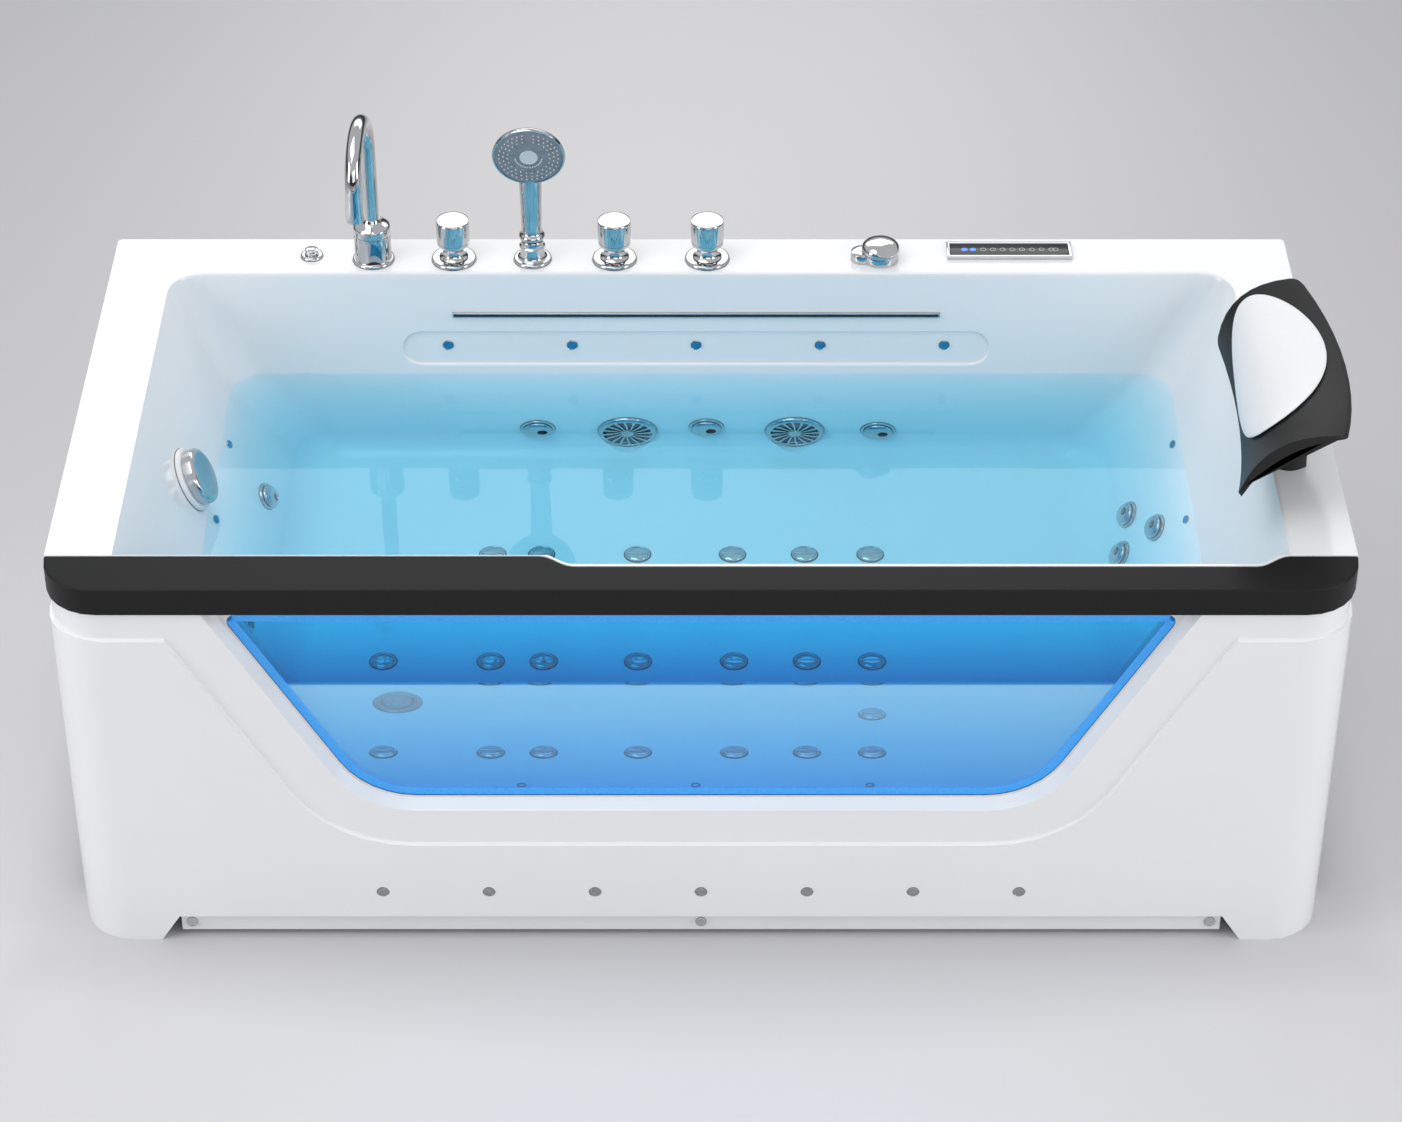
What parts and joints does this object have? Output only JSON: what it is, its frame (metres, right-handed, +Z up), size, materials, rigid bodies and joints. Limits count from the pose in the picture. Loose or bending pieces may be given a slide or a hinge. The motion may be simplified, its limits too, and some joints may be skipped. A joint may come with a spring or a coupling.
{
  "type": "jetted bathtub",
  "caption": "Rectangular jetted bathtub with a front window, black armrest, pillow, wall and floor jets, and a deck with spout, valves, hand shower and touch panel.",
  "frame": {"origin": "on the ground under the middle of the tub", "axes": "+X along the tub to its right end, +Y to its back with the taps, +Z up"},
  "size_m": [1.7065, 0.85, 0.866],
  "materials": {
    "acrylic": "glossy white acrylic",
    "plinth_white": "glossy",
    "brushed": "brushed",
    "chrome": "polished",
    "window_glass": "clear, faint blue",
    "seal": "satin",
    "armrest_black": "satin black",
    "pillow_black": "soft black",
    "pillow_white": "soft white",
    "nozzle_grey": "satin",
    "pipe_grey": "satin",
    "panel_black": "gloss black",
    "frame_steel": "grey paint",
    "foot_rubber": "matt",
    "pump_black": "moulded",
    "motor_paint": "grey paint",
    "rotor_steel": "turned",
    "box_grey": "moulded"
  },
  "bodies": {
    "root": {"tub_shell": "acrylic", "front_skirt": "acrylic", "left_panel": "acrylic", "right_panel": "acrylic", "plinth": "plinth_white", "plinth_screws": "brushed", "skirt_lamps": "chrome", "window_glass": "window_glass", "window_trim": "seal", "window_studs": "chrome", "armrest": "armrest_black", "pillow_frame": "pillow_black", "pillow_pad": "pillow_white", "pillow_foot": "pillow_black", "waterfall_spout": "chrome", "basin_lamps": "chrome", "suction_grilles": "chrome", "jet_housings": "chrome", "floor_air_jets": "chrome", "drain_body": "chrome", "overflow_body": "acrylic", "overflow_pipe": "pipe_grey", "hot_valve": "chrome", "cold_valve": "chrome", "diverter_valve": "chrome", "spout_base": "chrome", "shower_holder": "chrome", "button_base": "chrome", "air_control_base": "chrome", "panel_frame": "chrome", "panel_face": "panel_black", "steel_frame": "frame_steel", "levelling_feet": "foot_rubber", "pump_body": "pump_black", "pump_motor": "motor_paint", "air_blower": "motor_paint", "control_box": "box_grey", "water_pipes": "pipe_grey", "air_pipes": "pipe_grey"},
    "spout_body": {"spout": "chrome"},
    "hot_turn_body": {"hot_knob": "chrome"},
    "cold_turn_body": {"cold_knob": "chrome"},
    "diverter_turn_body": {"diverter_knob": "chrome"},
    "handset": {"shower_handset": "chrome", "shower_face": "nozzle_grey", "shower_ring": "seal"},
    "button": {"air_button": "chrome"},
    "air_dial": {"air_control_dial": "chrome"},
    "overflow_knob": {"overflow_dial": "chrome"},
    "plug": {"drain_plug": "chrome"},
    "pump_shaft": {"pump_rotor": "rotor_steel"},
    "blower_shaft": {"blower_rotor": "rotor_steel"},
    "nozzle_1": {"jet_nozzle_1": "chrome"},
    "nozzle_2": {"jet_nozzle_2": "chrome"},
    "nozzle_3": {"jet_nozzle_3": "chrome"},
    "nozzle_4": {"jet_nozzle_4": "chrome"},
    "nozzle_5": {"jet_nozzle_5": "chrome"},
    "nozzle_6": {"jet_nozzle_6": "chrome"},
    "nozzle_7": {"jet_nozzle_7": "chrome"},
    "nozzle_8": {"jet_nozzle_8": "chrome"}
  },
  "joints": [
    {"name": "spout_swivel", "type": "hinge", "parent": "root", "child": "spout_body", "pos_m": [-0.474, 0.371, 0.645], "axis": [0, 0, 1], "range_deg": [-60, 60]},
    {"name": "hot_turn", "type": "hinge", "parent": "root", "child": "hot_turn_body", "pos_m": [-0.3576, 0.371, 0.6], "axis": [0, 0, 1], "range_deg": [0, 90]},
    {"name": "cold_turn", "type": "hinge", "parent": "root", "child": "cold_turn_body", "pos_m": [-0.1251, 0.371, 0.6], "axis": [0, 0, 1], "range_deg": [0, 90]},
    {"name": "diverter_turn", "type": "hinge", "parent": "root", "child": "diverter_turn_body", "pos_m": [0.009, 0.371, 0.6], "axis": [0, 0, 1], "range_deg": [-45, 45]},
    {"name": "handset_lift", "type": "slide", "parent": "root", "child": "handset", "axis": [0, 0, 1], "range_m": [0, 0.12]},
    {"name": "button_press", "type": "slide", "parent": "root", "child": "button", "axis": [0, 0, -1], "range_m": [0, 0.004], "stiffness_N_per_m": 800, "springref_m": -0.002},
    {"name": "air_dial_turn", "type": "hinge", "parent": "root", "child": "air_dial", "pos_m": [0.2594, 0.371, 0.6], "axis": [0, 0, 1], "range_deg": [0, 180]},
    {"name": "overflow_turn", "type": "hinge", "parent": "root", "child": "overflow_knob", "pos_m": [-0.70797, -0.005, 0.475], "axis": [0.9121, 0, 0.4099], "range_deg": [0, 90]},
    {"name": "plug_lift", "type": "slide", "parent": "root", "child": "plug", "axis": [0, 0, 1], "range_m": [0, 0.012]},
    {"name": "nozzle_turn_1", "type": "hinge", "parent": "root", "child": "nozzle_1", "pos_m": [-0.2418, 0.333, 0.24624], "axis": [0, -1, 0], "range_deg": [-90, 90]},
    {"name": "nozzle_turn_2", "type": "hinge", "parent": "root", "child": "nozzle_2", "pos_m": [0.0078, 0.333, 0.25092], "axis": [0, -1, 0], "range_deg": [-90, 90]},
    {"name": "nozzle_turn_3", "type": "hinge", "parent": "root", "child": "nozzle_3", "pos_m": [0.26208, 0.333, 0.24], "axis": [0, -1, 0], "range_deg": [-90, 90]},
    {"name": "nozzle_turn_4", "type": "hinge", "parent": "root", "child": "nozzle_4", "pos_m": [-0.62339, 0.13, 0.2868], "axis": [0.9121, 0, 0.4099], "range_deg": [-90, 90]},
    {"name": "nozzle_turn_5", "type": "hinge", "parent": "root", "child": "nozzle_5", "pos_m": [-0.62806, -0.17004, 0.2972], "axis": [0.9121, 0, 0.4099], "range_deg": [-90, 90]},
    {"name": "nozzle_turn_6", "type": "hinge", "parent": "root", "child": "nozzle_6", "pos_m": [0.61217, 0.10504, 0.26184], "axis": [-0.9121, 0, 0.4099], "range_deg": [-90, 90]},
    {"name": "nozzle_turn_7", "type": "hinge", "parent": "root", "child": "nozzle_7", "pos_m": [0.64185, 0.02392, 0.32788], "axis": [-0.9121, 0, 0.4099], "range_deg": [-90, 90]},
    {"name": "nozzle_turn_8", "type": "hinge", "parent": "root", "child": "nozzle_8", "pos_m": [0.59698, 0.03588, 0.22804], "axis": [-0.9121, 0, 0.4099], "range_deg": [-90, 90]},
    {"name": "pump_spin", "type": "hinge", "parent": "root", "child": "pump_shaft", "pos_m": [0.735, -0.12, 0.172], "axis": [0, 1, 0], "continuous": true},
    {"name": "blower_spin", "type": "hinge", "parent": "root", "child": "blower_shaft", "pos_m": [-0.735, -0.134, 0.172], "axis": [0, 1, 0], "continuous": true}
  ],
  "couplings": [
    {"joint": "plug_lift", "follows": "overflow_turn", "m_per_rad": 0.0076394}
  ]
}
